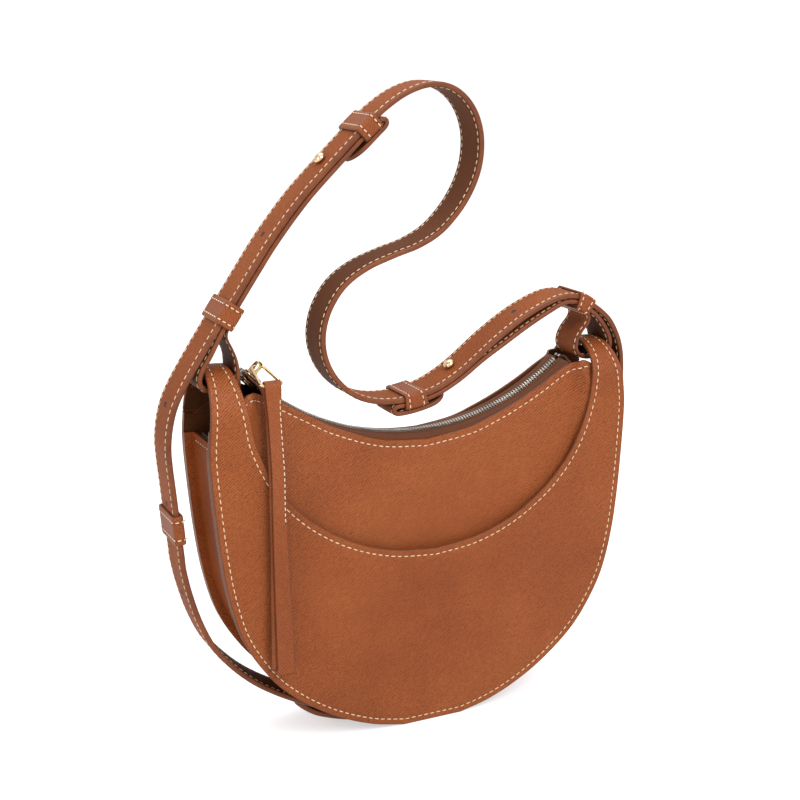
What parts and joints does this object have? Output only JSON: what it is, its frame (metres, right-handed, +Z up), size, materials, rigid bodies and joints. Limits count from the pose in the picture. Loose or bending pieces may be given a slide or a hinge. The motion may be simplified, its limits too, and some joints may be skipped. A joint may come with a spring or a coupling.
{
  "type": "half moon shoulder bag",
  "caption": "Crescent leather shoulder bag with a curved top zip, a long hanging pull, slip pockets and a belt strap hung in two folded ears.",
  "frame": {"origin": "on the flat underside that the bag stands on, below the middle of the zip, midway between front and back", "axes": "+Z up from the resting face to the strap loop, +X to the right seen from the front, so the zip is closed at -X; the pull hangs on the -Y front face"},
  "size_m": [0.2766, 0.0617, 0.3572],
  "materials": {
    "leather": "satin",
    "leather_gusset": "satin",
    "leather_inside": "matte",
    "lining": "matte",
    "tape": "matte",
    "board": "matte",
    "zip_metal": "satin",
    "gold": "polished"
  },
  "bodies": {
    "bag": {"front_panel": "leather", "back_panel": "leather", "front_pocket": "leather", "back_pocket": "leather", "gusset": "leather_gusset", "ear_lining_left": "leather_inside", "ear_lining_right": "leather_inside", "lining_front": "lining", "lining_back": "lining", "lining_gusset": "lining", "bottom_board": "board", "zip_tape_front": "tape", "zip_tape_back": "tape", "zip_chain_front": "zip_metal", "zip_chain_back": "zip_metal", "zip_stops": "zip_metal", "zip_tab_left": "leather_gusset", "zip_tab_right": "leather_gusset", "belt_side_left": "leather", "belt_side_right": "leather"},
    "zip_slider": {"slider_body": "gold", "slider_bail": "gold"},
    "ring": {"pull_ring": "gold"},
    "pull": {"leather_pull": "leather_gusset"},
    "shoulder_strap": {"belt_upper": "leather", "anchor_strap_left": "leather", "anchor_strap_right": "leather", "end_keeper_left": "leather_gusset", "end_keeper_right": "leather_gusset", "lower_keeper_left": "leather_gusset", "lower_keeper_right": "leather_gusset", "stud_heads": "gold", "stud_screws": "gold"},
    "belt_keeper": {"side_keeper": "leather_gusset"}
  },
  "joints": [
    {"name": "zip_slide", "type": "hinge", "parent": "bag", "child": "zip_slider", "pos_m": [0.0055, 0, 0.3046], "axis": [0, -1, 0], "range_deg": [0, 81.5]},
    {"name": "ring_level", "type": "hinge", "parent": "zip_slider", "child": "ring", "pos_m": [-0.08919, 0.0003, 0.2122], "axis": [0, -1, 0], "range_deg": [-81.5, 0]},
    {"name": "pull_swing", "type": "hinge", "parent": "ring", "child": "pull", "pos_m": [-0.08919, -0.02207, 0.20683], "axis": [-1, 0, 0], "range_deg": [0, 60]},
    {"name": "strap_swing", "type": "hinge", "parent": "bag", "child": "shoulder_strap", "pos_m": [0, 0, 0.187], "axis": [-1, 0, 0], "range_deg": [-15, 15]},
    {"name": "keeper_slide", "type": "slide", "parent": "bag", "child": "belt_keeper", "axis": [-0.0748, 0, 0.9972], "range_m": [-0.01, 0.012]}
  ],
  "couplings": [
    {"joint": "ring_level", "follows": "zip_slide", "ratio": -1}
  ]
}
